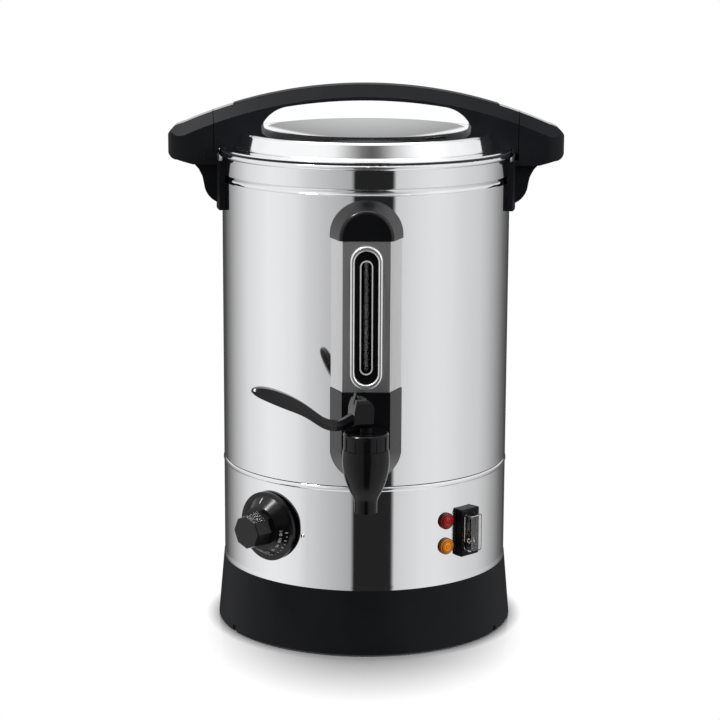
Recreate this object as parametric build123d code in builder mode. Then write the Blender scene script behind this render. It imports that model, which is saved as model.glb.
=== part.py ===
"""Mulled wine boiler: a steel urn with a tap, a level gauge and a lift-off lid.

Millimetres. The front, with the tap, faces -Y. Z = 0 is the surface that it stands on.
"""
import os
from math import cos, radians, sin, sqrt

from build123d import *

# Driving sizes
body_radius = 110.0
steel = 1.0
skirt_height = 50.0
seam_height = 130.0
rim_height = 367.6
handle_rise = 49.3
tap_reach = 40.0
gauge_depth = 16.0
knob_angle = -40.4
lamp_angle = 33.3
switch_angle = 43.6
lever_angle = -75.0

# Clearances
seat_gap = 0.3
running_gap = 0.06
flush_gap = 0.05
lid_gap = 0.5

# Heights and depths worked out from the driving sizes
handle_top = rim_height + handle_rise
tap_axis_y = -body_radius - tap_reach
gauge_face_y = -body_radius - gauge_depth
through = 2 * handle_top
controls_height = (skirt_height + seam_height) / 2
groove_low = rim_height - 22.6
groove_high = rim_height - 17.1
shank_height = seam_height + 23.0
cover_low = shank_height + 51.6
cover_high = rim_height - 52.6
flange_low = rim_height + 1.2
flange_high = flange_low + 1.4
lid_top = flange_high + 13.8
handle_foot = flange_low - 2.2
pad_low = handle_foot - 5.4

os.makedirs("parts", exist_ok=True)


def save(node, name):
    """Label a finished sub-part and write its STEP file."""
    node.part.label = name
    export_step(node.part, f"parts/{name}.step")


def outward(angle):
    """Unit vector at an angle to the right of the front."""
    return sin(radians(angle)), -cos(radians(angle)), 0.0


def wall_plane(angle, distance, height):
    """Plane that faces outwards at an angle to the right of the front, with its local Y up."""
    out = outward(angle)
    return Plane(
        origin=(distance * out[0], distance * out[1], height),
        x_dir=(-out[1], out[0], 0),
        z_dir=out,
    )


def disc(plane, radius, depth, inner=0.0, mode=Mode.ADD):
    """Cylinder or ring that stands on a plane."""
    with BuildSketch(plane) as outline:
        Circle(radius)
        if inner:
            Circle(inner, mode=Mode.SUBTRACT)
    extrude(outline.sketch, amount=depth, mode=mode)


def block(plane, width, height, depth, corner=0.0, mode=Mode.ADD):
    """Rectangular block that stands on a plane, with round corners if asked."""
    with BuildSketch(plane) as outline:
        if corner:
            RectangleRounded(width, height, corner)
        else:
            Rectangle(width, height)
    extrude(outline.sketch, amount=depth, mode=mode)


def slot_block(plane, length, width, depth, mode=Mode.ADD):
    """Upright slot-shaped block that stands on a plane."""
    with BuildSketch(plane) as outline:
        SlotOverall(length, width, rotation=90)
    extrude(outline.sketch, amount=depth, mode=mode)


def turned(points, axis_y=0.0, mode=Mode.ADD):
    """Solid of revolution from (radius, height) points about an upright axis at x = 0."""
    with BuildSketch(Plane.XZ.offset(-axis_y)) as outline:
        with BuildLine():
            Polyline(points, close=True)
        make_face()
    revolve(outline.sketch, axis=Axis((0, axis_y, 0), (0, 0, 1)), mode=mode)


def front_plane(y):
    """Upright plane across the front at a given y, with its normal towards the front."""
    return Plane.XZ.offset(-y)


def level(z):
    """Horizontal plane at a height."""
    return Plane.XY.offset(z)


def ring_points(radius, count, first=0.0):
    """Evenly spaced (x, y) points on a circle."""
    return [
        (radius * sin(radians(first + 360 * i / count)), -radius * cos(radians(first + 360 * i / count)))
        for i in range(count)
    ]


# Base
skirt_top_radius = body_radius + 0.6
skirt_foot_radius = body_radius + 5.0
skirt_wall = 3.4
spigot_radius = body_radius - steel - seat_gap
plate_low = 6.0
plate_high = 8.5
ledge_high = 12.0
ledge_radius = body_radius - 7.0
rim_slot_width = 4.5
rim_slot_height = 5.0
rim_slot_angles = (-61.0, 61.0, 170.0)
boss_ring = body_radius - 13.0
boss_radius = 6.5
boss_high = 26.0
screw_radius = 1.9
screw_head_radius = 3.6
screw_head = 2.2
foot_ring = body_radius - 30.0
foot_radius = 11.0
foot_nub_radius = 4.0
stud_radius = 3.0
nut_radius = 6.0

with BuildPart() as base_skirt:
    turned(
        [
            (skirt_foot_radius - skirt_wall, 0),
            (skirt_foot_radius - 1.5, 0),
            (skirt_foot_radius, 1.5),
            (skirt_top_radius, skirt_height),
            (spigot_radius, skirt_height),
            (spigot_radius, skirt_height + 7),
            (spigot_radius - 2, skirt_height + 7),
            (spigot_radius - 2, skirt_height - 3),
            (skirt_foot_radius - skirt_wall - 1, ledge_high),
            (ledge_radius, ledge_high),
            (ledge_radius, plate_high),
            (skirt_foot_radius - skirt_wall - 0.5, plate_high),
        ]
    )
    for x, y in ring_points(boss_ring, 4):
        disc(Plane((x, y, plate_high)), boss_radius, boss_high - plate_high)
        disc(Plane((x, y, plate_high)), screw_radius, 14.0, mode=Mode.SUBTRACT)
    for angle in rim_slot_angles:
        edge = wall_plane(angle, body_radius - 1, rim_slot_height / 2)
        block(edge, rim_slot_width, rim_slot_height, 8.0, mode=Mode.SUBTRACT)
save(base_skirt, "base_skirt")

with BuildPart() as bottom_plate:
    disc(level(plate_low), skirt_foot_radius - skirt_wall - 1.2, plate_high - plate_low)
    for x, y in ring_points(boss_ring, 4):
        disc(Plane((x, y, plate_low)), screw_radius + 0.2, 5.0, mode=Mode.SUBTRACT)
    for x, y in ring_points(foot_ring, 4, 45):
        disc(Plane((x, y, plate_low)), foot_nub_radius + 0.2, 5.0, mode=Mode.SUBTRACT)
    disc(level(plate_low), stud_radius + 0.3, 5.0, mode=Mode.SUBTRACT)
    with BuildSketch(level(plate_low)) as vents:
        with GridLocations(40, 14, 3, 3):
            with Locations((0, 34), (0, -34)):
                SlotOverall(30, 4)
    extrude(vents.sketch, amount=5, mode=Mode.SUBTRACT)
save(bottom_plate, "bottom_plate")

with BuildPart() as bottom_screws:
    for x, y in ring_points(boss_ring, 4):
        disc(Plane((x, y, plate_low - screw_head)), screw_head_radius, screw_head)
        disc(Plane((x, y, plate_low)), screw_radius - flush_gap, 15.0)
save(bottom_screws, "bottom_screws")

with BuildPart() as rubber_feet:
    for x, y in ring_points(foot_ring, 4, 45):
        disc(Plane((x, y, 0)), foot_radius, plate_low)
        disc(Plane((x, y, plate_low)), foot_nub_radius, 6.0)
save(rubber_feet, "rubber_feet")

# Tank and what hangs under it
floor_low = seam_height + 3.5
floor_high = floor_low + 1.5
heat_plate_radius = body_radius - 34.0
heat_plate_low = floor_low - 5.4
element_ring = body_radius - 50.0
element_radius = 4.0
element_open_angle = 30.0
terminal_radius = 2.4
terminal_length = 24.0
cutout_radius = 8.0
cutout_height = 9.0
cutout_lug = 4.0
cutout_back = 32.0
tank_inner = body_radius - steel
rim_bulge = 2.6
shank_radius = 9.0
lug_screw_heights = (rim_height - 33.0, rim_height - 12.0)
cap_screw_height = cover_high + 14.0

with BuildPart() as tank:
    with BuildSketch(Plane.XZ):
        with BuildLine():
            Polyline(
                (tank_inner, seam_height + 0.2),
                (body_radius, seam_height + 0.2),
                (body_radius, groove_low),
            )
            ThreePointArc(
                (body_radius, groove_low),
                (body_radius - 1.8, (groove_low + groove_high) / 2),
                (body_radius, groove_high),
            )
            Line((body_radius, groove_high), (body_radius, rim_height - 4))
            ThreePointArc(
                (body_radius, rim_height - 4),
                (body_radius + rim_bulge, rim_height - 2),
                (body_radius + 0.6, rim_height),
            )
            Polyline(
                (body_radius + 0.6, rim_height),
                (tank_inner + 0.6, rim_height),
                (tank_inner, rim_height - 0.6),
                (tank_inner, groove_high),
            )
            ThreePointArc(
                (tank_inner, groove_high),
                (tank_inner - 1.8, (groove_low + groove_high) / 2),
                (tank_inner, groove_low),
            )
            Line((tank_inner, groove_low), (tank_inner, seam_height + 0.2))
        make_face()
    revolve(axis=Axis.Z)
    disc(wall_plane(0, body_radius - 20, shank_height), shank_radius + seat_gap, 40, mode=Mode.SUBTRACT)
    disc(wall_plane(0, body_radius - 20, cap_screw_height), screw_radius + 0.2, 40, mode=Mode.SUBTRACT)
    for side in (-90, 90):
        for height in lug_screw_heights:
            disc(wall_plane(side, body_radius - 20, height), screw_radius + 0.2, 40, mode=Mode.SUBTRACT)
save(tank, "tank")

with BuildPart() as tank_floor:
    disc(level(floor_low), tank_inner - flush_gap, floor_high - floor_low)
save(tank_floor, "tank_floor")

with BuildPart() as heat_plate:
    disc(level(heat_plate_low), heat_plate_radius, floor_low - heat_plate_low)
save(heat_plate, "heat_plate")

element_height = heat_plate_low - element_radius - 0.1
with BuildPart() as heating_element:
    with BuildLine() as element_path:
        CenterArc((0, 0, element_height), element_ring, 90 + element_open_angle / 2, 360 - element_open_angle)
    with BuildSketch(element_path.line ^ 0):
        Circle(element_radius)
    sweep(path=element_path.line)
    for side in (-1, 1):
        end = radians(90 + side * (element_open_angle / 2 + 3))
        foot = Plane((element_ring * cos(end), element_ring * sin(end), element_height - terminal_length))
        disc(foot, terminal_radius, terminal_length - element_radius / 2)
save(heating_element, "heating_element")

with BuildPart() as thermal_cutout:
    cutout_low = heat_plate_low - cutout_height
    disc(Plane((0, cutout_back, cutout_low)), cutout_radius, cutout_height)
    block(Plane((0, cutout_back, cutout_low - cutout_lug)), 2 * cutout_radius + 2, 6.0, cutout_lug)
save(thermal_cutout, "thermal_cutout")

with BuildPart() as tie_stud:
    disc(level(1.6), stud_radius, heat_plate_low - 1.6)
save(tie_stud, "tie_stud")

with BuildPart() as tie_nut:
    with BuildSketch(level(plate_low - 3.6)):
        RegularPolygon(nut_radius, 6)
        Circle(stud_radius + flush_gap, mode=Mode.SUBTRACT)
    extrude(amount=3.6)
save(tie_nut, "tie_nut")

# Control shell with its openings
shell_top = seam_height - 0.5
lip = 0.5
knob_height = controls_height + 2.9
spindle_radius = 3.0
spindle_hole = 4.2
lamp_heights = {"red_lens": controls_height + 9.2, "amber_lens": controls_height - 10.3}
lamp_hole = 5.0
lamp_radius = 6.3
switch_height = controls_height - 1.7
switch_wall = body_radius + 0.02
switch_hole = (14.0, 30.0)
gland_angle = 180.0
gland_radius = 8.0
gland_height = skirt_height + gland_radius + 14.0
cord_hole = 3.6
thermostat_screw_offset = 14.0
index_angle = -24.8
index_height = controls_height - 1.0
index_radius = 2.2

with BuildPart() as control_shell:
    with BuildSketch(Plane.XZ):
        with BuildLine():
            Polyline(
                (tank_inner, shell_top - steel),
                (tank_inner, skirt_height),
                (body_radius + lip, skirt_height),
                (body_radius + lip, skirt_height + 1.5),
                (body_radius, skirt_height + 3.5),
                (body_radius, shell_top - 3.4),
            )
            ThreePointArc(
                (body_radius, shell_top - 3.4),
                (body_radius + lip, shell_top - 1.6),
                (body_radius - 0.4, shell_top),
            )
            Polyline(
                (body_radius - 0.4, shell_top),
                (tank_inner - 8, shell_top),
                (tank_inner - 8, shell_top - steel),
                (tank_inner, shell_top - steel),
            )
        make_face()
    revolve(axis=Axis.Z)
    disc(wall_plane(knob_angle, body_radius - 10, knob_height), spindle_hole, 20, mode=Mode.SUBTRACT)
    for side in (-1, 1):
        hole = wall_plane(knob_angle, body_radius - 10, knob_height + side * thermostat_screw_offset)
        disc(hole, screw_radius + 0.2, 20, mode=Mode.SUBTRACT)
    for height in lamp_heights.values():
        disc(wall_plane(lamp_angle, body_radius - 10, height), lamp_hole, 20, mode=Mode.SUBTRACT)
    block(wall_plane(switch_angle, body_radius - 10, switch_height), *switch_hole, 20, mode=Mode.SUBTRACT)
    disc(wall_plane(gland_angle, body_radius - 10, gland_height), gland_radius + 0.3, 20, mode=Mode.SUBTRACT)
    with Locations(wall_plane(index_angle, body_radius - index_radius / 2, index_height).location):
        Sphere(index_radius)
save(control_shell, "control_shell")

# Thermostat and its knob
saddle_face = body_radius - 2.8
spindle_inner = body_radius - 20.0
knob_back = body_radius + 0.9
knob_radius = 26.2
knob_step = 3.2
knob_rim = 2.6
skirt_face_radius = 16.4
knob_skirt = 10.6
grip_radius = 14.0
grip_sides = 8
grip_length = 16.0
knob_plane = wall_plane(knob_angle, 0, knob_height)
saddle_size = (24.0, 40.0)
thermostat_size = (34.0, 40.0, 26.0)

with BuildPart() as thermostat_saddle:
    block(knob_plane.offset(saddle_face), *saddle_size, 8.0)
    disc(level(0), tank_inner - flush_gap, through, mode=Mode.INTERSECT)
    disc(knob_plane.offset(saddle_face), spindle_hole, 20, mode=Mode.SUBTRACT)
    for side in (-1, 1):
        hole = wall_plane(knob_angle, saddle_face, knob_height + side * thermostat_screw_offset)
        disc(hole, screw_radius + 0.2, 20, mode=Mode.SUBTRACT)
save(thermostat_saddle, "thermostat_saddle")

with BuildPart() as thermostat_body:
    block(knob_plane.offset(saddle_face - thermostat_size[2]), *thermostat_size, corner=2.0)
    disc(knob_plane.offset(spindle_inner - 0.5), spindle_radius + running_gap, 30, mode=Mode.SUBTRACT)
    for side in (-1, 1):
        hole = wall_plane(knob_angle, saddle_face - 13, knob_height + side * thermostat_screw_offset)
        disc(hole, screw_radius, 20, mode=Mode.SUBTRACT)
save(thermostat_body, "thermostat_body")

with BuildPart() as thermostat_screws:
    for side in (-1, 1):
        height = knob_height + side * thermostat_screw_offset
        disc(wall_plane(knob_angle, body_radius, height), 3.4, 1.8)
        disc(wall_plane(knob_angle, saddle_face - 12, height), screw_radius - flush_gap, 15.0)
save(thermostat_screws, "thermostat_screws")

with BuildPart() as thermostat_spindle:
    disc(knob_plane.offset(spindle_inner), spindle_radius, knob_back + knob_skirt + 2 - spindle_inner)
save(thermostat_spindle, "thermostat_spindle")

with BuildPart() as thermostat_knob:
    disc(knob_plane.offset(knob_back), knob_radius, knob_rim)
    with BuildSketch(knob_plane.offset(knob_back + knob_rim)):
        Circle(knob_radius - knob_step)
    with BuildSketch(knob_plane.offset(knob_back + knob_skirt)):
        Circle(skirt_face_radius)
    loft()
    with BuildSketch(knob_plane.offset(knob_back + knob_skirt - 1)):
        RegularPolygon(grip_radius, grip_sides)
    extrude(amount=grip_length, taper=5)
    grip_face = thermostat_knob.faces().sort_by(Axis((0, 0, 0), outward(knob_angle)))[-1]
    chamfer(grip_face.edges(), 0.6)
    disc(knob_plane.offset(knob_back), 19.5, 3.0, mode=Mode.SUBTRACT)
    disc(knob_plane.offset(knob_back), spindle_radius + flush_gap, knob_skirt + 2.1, mode=Mode.SUBTRACT)
save(thermostat_knob, "thermostat_knob")

bulb_radius = 3.0
bulb_length = 46.0
bulb_y = -22.0
capillary_radius = 0.9
bulb_height = heat_plate_low - bulb_radius - 0.1
sensor_entry = wall_plane(knob_angle, saddle_face - thermostat_size[2], knob_height + 10).origin

with BuildPart() as thermostat_sensor:
    disc(Plane((-bulb_length / 2, bulb_y, bulb_height), z_dir=(1, 0, 0)), bulb_radius, bulb_length)
    with BuildLine() as capillary:
        Spline(
            (-bulb_length / 2 + 1, bulb_y, bulb_height),
            (-bulb_length / 2 - 8, bulb_y - 6, bulb_height - 4),
            tuple(sensor_entry),
            tangents=((-1, 0, 0), outward(knob_angle)),
        )
    with BuildSketch(capillary.line ^ 0):
        Circle(capillary_radius)
    sweep(path=capillary.line)
save(thermostat_sensor, "thermostat_sensor")

# Indicator lenses and switch
lamp_holder_face = tank_inner - 0.3
lens_stem = 14.0
holder_length = 17.0

for lens_name, height in lamp_heights.items():
    lens_plane = wall_plane(lamp_angle, body_radius, height)
    with BuildPart() as lens:
        disc(lens_plane, lamp_radius, 2.2)
        disc(lens_plane.offset(2.2), lamp_radius - 1.6, 0.8)
        chamfer(lens.edges().filter_by(GeomType.CIRCLE).sort_by(SortBy.RADIUS)[-1:], 0.6)
        disc(lens_plane.offset(-lens_stem), lamp_hole - 0.2, lens_stem)
    save(lens, lens_name)

with BuildPart() as lamp_holders:
    for height in lamp_heights.values():
        back = wall_plane(lamp_angle, lamp_holder_face - holder_length, height)
        disc(back, lamp_radius + 0.5, holder_length)
        disc(back.offset(2), lamp_hole, holder_length, mode=Mode.SUBTRACT)
save(lamp_holders, "lamp_holders")

frame_size = (19.4, 36.4, 5.2)
switch_body = (13.6, 29.6, 20.0)
pocket_size = (11.2, 26.2)
pocket_floor = -7.0
cover_size = (13.0, 28.4, 6.0)
cover_wall = 0.8
rocker_width = 10.4
rocker_half = 12.0
rocker_rest = -10.0
pivot_depth = 1.5
pivot_radius = 3.0
switch_plane = wall_plane(switch_angle, switch_wall, switch_height)

with BuildPart() as switch_frame:
    block(switch_plane, *frame_size, corner=1.5)
    chamfer(switch_frame.faces().sort_by(Axis((0, 0, 0), outward(switch_angle)))[-1].edges(), 0.8)
    block(switch_plane.offset(-switch_body[2]), *switch_body)
    block(switch_plane.offset(pocket_floor), *pocket_size, 30, mode=Mode.SUBTRACT)
save(switch_frame, "switch_frame")

with BuildPart() as switch_cover:
    block(switch_plane.offset(frame_size[2]), *cover_size, corner=1.8)
    chamfer(switch_cover.faces().sort_by(Axis((0, 0, 0), outward(switch_angle)))[-1].edges(), 0.7)
    block(
        switch_plane.offset(frame_size[2]),
        cover_size[0] - 2 * cover_wall,
        cover_size[1] - 2 * cover_wall,
        cover_size[2] - cover_wall,
        corner=1.2,
        mode=Mode.SUBTRACT,
    )
save(switch_cover, "switch_cover")

rocker_axis = outward(switch_angle + 90)
pivot = switch_plane.offset(pivot_depth).origin
rest_up = (
    sin(radians(rocker_rest)) * outward(switch_angle)[0],
    sin(radians(rocker_rest)) * outward(switch_angle)[1],
    cos(radians(rocker_rest)),
)
rocker_plane = Plane(origin=tuple(pivot), x_dir=rest_up, z_dir=rocker_axis)
rocker_end = frame_size[2] - pivot_depth + 0.6

with BuildPart() as rocker:
    with BuildSketch(rocker_plane):
        with BuildLine():
            Polyline(
                (-rocker_half, rocker_end),
                (0, rocker_end - 1.8),
                (rocker_half, rocker_end),
                (rocker_half, rocker_end - 3),
                (pivot_radius, -pivot_radius),
                (-pivot_radius, -pivot_radius),
                (-rocker_half, rocker_end - 3),
                close=True,
            )
        make_face()
    extrude(amount=rocker_width / 2, both=True)
save(rocker, "rocker")

with BuildPart() as cord_gland:
    gland_plane = wall_plane(gland_angle, body_radius, gland_height)
    disc(gland_plane, gland_radius + 3, 3.5)
    disc(gland_plane.offset(-14), gland_radius, 14)
    disc(gland_plane.offset(-14), cord_hole, 30, mode=Mode.SUBTRACT)
save(cord_gland, "cord_gland")

# Level gauge
gauge_wall_y = 6.0 - body_radius
gauge_length = cover_high - cover_low
cover_half_front = 17.3
cover_half_wall = 27.1
cover_wall_thickness = 1.2
bezel_size = (gauge_length - 5.8, 23.1)
bezel_hole = (gauge_length - 13.2, 16.9)
bezel_collar = (gauge_length - 10.0, 19.8)
bezel_proud = 2.2
bezel_round = 1.2
panel_size = (gauge_length - 13.6, 16.5)
panel_front = gauge_face_y + 0.4
panel_back = gauge_face_y + 3.0
slot_rim_size = (gauge_length - 26.8, 9.4)
slot_size = (gauge_length - 28.6, 7.6)
tube_y = gauge_face_y + 8.4
tube_radius = 5.0
tube_bore = 3.6
trough_wall = 0.8
gauge_mid = cover_low + bezel_size[0] / 2 + 2.4
tube_low = shank_height + 15.0
tube_high = cover_high + 5.0


def gauge_section(margin):
    """Plan outline of the gauge column, grown by a margin, as (x, y) points."""
    return [
        (-cover_half_wall - margin, gauge_wall_y),
        (-cover_half_front - margin, gauge_face_y - margin),
        (cover_half_front + margin, gauge_face_y - margin),
        (cover_half_wall + margin, gauge_wall_y),
    ]


with BuildPart() as gauge_cover:
    with BuildSketch(level(cover_low)) as channel:
        with BuildLine():
            Polyline(gauge_section(0), close=True)
        make_face()
        offset(amount=-cover_wall_thickness, mode=Mode.SUBTRACT)
    extrude(amount=cover_high - cover_low)
    disc(level(0), body_radius + flush_gap, through, mode=Mode.SUBTRACT)
    window = Plane((0, gauge_face_y - gauge_depth / 2, gauge_mid), x_dir=(1, 0, 0), z_dir=(0, 1, 0))
    slot_block(window, bezel_collar[0] + 0.6, bezel_collar[1] + 0.6, gauge_depth, mode=Mode.SUBTRACT)
save(gauge_cover, "gauge_cover")

with BuildPart() as gauge_bezel:
    bezel_plane = Plane((0, gauge_face_y, gauge_mid), x_dir=(1, 0, 0), z_dir=(0, -1, 0))
    slot_block(bezel_plane, *bezel_size, bezel_proud)
    collar = Plane((0, gauge_face_y, gauge_mid), x_dir=(1, 0, 0), z_dir=(0, 1, 0))
    slot_block(collar, *bezel_collar, 3.4)
    slot_block(window, *bezel_hole, 20, mode=Mode.SUBTRACT)
    fillet(gauge_bezel.faces().sort_by(Axis.Y)[0].edges(), bezel_round)
save(gauge_bezel, "gauge_bezel")

with BuildPart() as gauge_panel:
    panel_plane = Plane((0, panel_front, gauge_mid), x_dir=(1, 0, 0), z_dir=(0, 1, 0))
    slot_block(panel_plane, *panel_size, panel_back - panel_front)
    slot_block(panel_plane, *slot_size, 10, mode=Mode.SUBTRACT)
    trough = Plane((0, panel_back, gauge_mid), x_dir=(1, 0, 0), z_dir=(0, 1, 0))
    trough_half = tube_radius + seat_gap
    trough_depth = tube_y + trough_half - panel_back
    block(trough, 2 * (trough_half + trough_wall), slot_size[0], trough_depth + trough_wall)
    block(trough, 2 * trough_half, gauge_length, trough_depth, mode=Mode.SUBTRACT)
save(gauge_panel, "gauge_panel")

with BuildPart() as gauge_slot_rim:
    rim_plane = Plane((0, panel_front - 0.5, gauge_mid), x_dir=(1, 0, 0), z_dir=(0, 1, 0))
    slot_block(rim_plane, *slot_rim_size, 0.5)
    slot_block(rim_plane, *slot_size, 10, mode=Mode.SUBTRACT)
save(gauge_slot_rim, "gauge_slot_rim")

with BuildPart() as gauge_tube:
    disc(Plane((0, tube_y, tube_low)), tube_radius, tube_high - tube_low, inner=tube_bore)
save(gauge_tube, "gauge_tube")

cap_margin = 0.6
cap_straight = 2.2
cap_front_margin = 1.8
cap_round = 3.0


def dome(half_width):
    """Arched outline that stands on the gauge cover: a half round on a short straight edge."""
    spring = cover_high + cap_straight
    left = -half_width
    right = half_width
    with BuildLine() as outline:
        Polyline((left, spring), (left, cover_high), (right, cover_high), (right, spring))
        ThreePointArc((right, spring), (0, spring + half_width), (left, spring))
    return outline.edges()


with BuildPart() as gauge_top_cap:
    with BuildSketch(front_plane(gauge_wall_y)):
        make_face(dome(cover_half_wall + cap_margin))
    with BuildSketch(front_plane(gauge_face_y - cap_margin)):
        make_face(dome(cover_half_front + cap_front_margin))
    loft()
    cap_front = gauge_top_cap.faces().sort_by(Axis.Y)[0]
    fillet(cap_front.edges().filter_by(lambda edge: edge.center().Z > cover_high + 0.5), cap_round)
    disc(level(0), body_radius + flush_gap, through, mode=Mode.SUBTRACT)
    tube_end = Plane((0, tube_y, cover_high - 1))
    disc(tube_end, tube_radius + 1.6, tube_high - cover_high + 1.3, mode=Mode.SUBTRACT)
    disc(wall_plane(0, body_radius - 10, cap_screw_height), screw_radius, 20, mode=Mode.SUBTRACT)
save(gauge_top_cap, "gauge_top_cap")

with BuildPart() as cap_screw:
    disc(wall_plane(0, tank_inner - screw_head - 0.12, cap_screw_height), screw_head_radius, screw_head)
    disc(wall_plane(0, tank_inner - 1, cap_screw_height), screw_radius - flush_gap, 11.0)
save(cap_screw, "cap_screw")

tee_radius = 12.6
tee_front = gauge_face_y + 2.2
tee_back = gauge_face_y + 14.2
socket_radius = 7.2
socket_high = tube_low + 14.0
seal_height = 3.0
seal_radius = tube_radius + 1.4

with BuildPart() as gauge_tee:
    disc(wall_plane(0, -tee_back, shank_height), tee_radius, tee_back - tee_front)
    disc(Plane((0, tube_y, shank_height)), socket_radius, socket_high - shank_height)
    disc(wall_plane(0, -tee_back - 5, shank_height), shank_radius + 0.1, 30, mode=Mode.SUBTRACT)
    disc(Plane((0, tube_y, shank_height)), tube_bore, 40, mode=Mode.SUBTRACT)
    disc(Plane((0, tube_y, tube_low)), tube_radius + 0.1, 40, mode=Mode.SUBTRACT)
    disc(Plane((0, tube_y, socket_high - seal_height)), seal_radius, 10, mode=Mode.SUBTRACT)
save(gauge_tee, "gauge_tee")

with BuildPart() as gauge_seals:
    for low in (socket_high - seal_height, cover_high):
        disc(Plane((0, tube_y, low)), seal_radius, seal_height, inner=tube_radius)
save(gauge_seals, "gauge_seals")

# Tap
bracket_front = gauge_face_y - 0.5
bracket_half_front = 17.6
bracket_half_wall = 27.6
bracket_wall = 1.2
bracket_straight_front = shank_height + 7.0
bracket_straight_wall = shank_height + 2.5
bracket_low = seam_height + 1.0
bonnet_top = shank_height + 28.0
body_top = bonnet_top - 12.2
bonnet_radius = 16.3
neck_radius = 13.6
chamber_radius = 10.5
seat_height = shank_height - 7.0
nozzle_low = shank_height - 31.0
nozzle_radius = 8.25
nozzle_bore = 6.2
shank_bore = 5.4
shank_end = 14.0 - body_radius
washer_face = -sqrt(tank_inner**2 - 13.6**2)
washer_thickness = 2.0
stem_radius = 4.0
pin_height = bonnet_top + 12.0
pin_radius = 1.5
pin_reach = 6.6
hub_half_width = 9.0
hub_low = bonnet_top + 3.6
hub_high = bonnet_top + 26.4
hub_round = 6.5
tap_lift = 5.0


def bracket_outline(half_width, straight):
    """Upright outline of the tap bracket: square top, round bottom."""
    low = max(straight - half_width, bracket_low)
    with BuildLine() as outline:
        Polyline((half_width, straight), (half_width, cover_low), (-half_width, cover_low))
        Line((-half_width, cover_low), (-half_width, straight))
        ThreePointArc((-half_width, straight), (0, low), (half_width, straight))
    return outline.edges()


with BuildPart() as tap_bracket:
    with BuildSketch(front_plane(gauge_wall_y)):
        make_face(bracket_outline(bracket_half_wall, bracket_straight_wall))
    with BuildSketch(front_plane(bracket_front)):
        make_face(bracket_outline(bracket_half_front, bracket_straight_front))
    loft()
    disc(level(0), body_radius + flush_gap, through, mode=Mode.SUBTRACT)
    inside = wall_plane(0, body_radius - 10, shank_height)
    disc(inside, tee_radius + 0.3, 10 + 0.2 - tee_front - body_radius, mode=Mode.SUBTRACT)
    disc(inside, shank_radius + 0.2, 40, mode=Mode.SUBTRACT)
    hollow_y = bracket_front + bracket_wall
    hollow = Plane((0, (hollow_y + gauge_wall_y) / 2, shank_height))
    block(hollow, 2 * socket_radius + 1.2, gauge_wall_y - hollow_y, through, mode=Mode.SUBTRACT)
save(tap_bracket, "tap_bracket")

gasket = 1.5
flange_radius = 13.0
with BuildPart() as tap_body:
    with BuildSketch(front_plane(tap_axis_y)):
        with BuildLine():
            Polyline((0, nozzle_low), (nozzle_radius, nozzle_low), (nozzle_radius, nozzle_low + 6))
            Spline(
                (nozzle_radius, nozzle_low + 6),
                (nozzle_radius + 2.6, nozzle_low + 14),
                (bonnet_radius - 1.4, nozzle_low + 24),
                (bonnet_radius + 0.9, body_top - 8),
                (bonnet_radius + 0.3, body_top),
                tangents=((0, 1), (-0.1, 1)),
            )
            Polyline(
                (bonnet_radius + 0.3, body_top),
                (neck_radius, body_top),
                (neck_radius, bonnet_top - 3.4),
                (0, bonnet_top - 3.4),
                (0, nozzle_low),
            )
        make_face()
    revolve(axis=Axis((0, tap_axis_y, 0), (0, 0, 1)))
    disc(wall_plane(0, -shank_end, shank_height), shank_radius, shank_end - tap_axis_y)
    disc(wall_plane(0, -bracket_front + gasket, shank_height), flange_radius, 4.0)
    disc(Plane((0, tap_axis_y, nozzle_low)), nozzle_bore, seat_height - nozzle_low, mode=Mode.SUBTRACT)
    disc(Plane((0, tap_axis_y, seat_height)), chamber_radius, 60, mode=Mode.SUBTRACT)
    disc(wall_plane(0, -shank_end, shank_height), shank_bore, shank_end - tap_axis_y, mode=Mode.SUBTRACT)
    disc(Plane((0, tube_y, shank_height)), 3.0, 15, mode=Mode.SUBTRACT)
save(tap_body, "tap_body")

with BuildPart() as tap_gaskets:
    disc(wall_plane(0, -bracket_front, shank_height), flange_radius, gasket, inner=shank_radius + 0.1)
    inner_face = wall_plane(0, -washer_face - washer_thickness, shank_height)
    disc(inner_face, 13.4, washer_thickness - flush_gap, inner=shank_radius + 0.1)
save(tap_gaskets, "tap_gaskets")

with BuildPart() as tap_nut:
    with BuildSketch(wall_plane(0, -washer_face - washer_thickness - 8, shank_height)):
        RegularPolygon(14.0, 6)
        Circle(shank_radius + flush_gap, mode=Mode.SUBTRACT)
    extrude(amount=8.0)
save(tap_nut, "tap_nut")

rib_count = 12
with BuildPart() as tap_bonnet:
    turned(
        [
            (neck_radius + 0.3, body_top + 0.2),
            (bonnet_radius, body_top + 0.2),
            (bonnet_radius, bonnet_top - 0.9),
            (bonnet_radius - 0.9, bonnet_top),
            (stem_radius + running_gap, bonnet_top),
            (stem_radius + running_gap, bonnet_top - 3.2),
            (neck_radius + 0.3, bonnet_top - 3.2),
        ],
        axis_y=tap_axis_y,
    )
    with BuildSketch(Plane((0, tap_axis_y, body_top + 0.6))) as ribs:
        with PolarLocations(bonnet_radius - 0.2, rib_count):
            Rectangle(1.4, 1.6)
    extrude(ribs.sketch, amount=9.5)
save(tap_bonnet, "tap_bonnet")

cup_top = seat_height + 9.0
with BuildPart() as seat_cup:
    turned(
        [
            (0, seat_height),
            (8.6, seat_height),
            (8.6, seat_height + 3),
            (6.2, cup_top),
            (stem_radius + running_gap, cup_top),
            (stem_radius + running_gap, seat_height + 2),
            (0, seat_height + 2),
        ],
        axis_y=tap_axis_y,
    )
save(seat_cup, "seat_cup")

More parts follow.
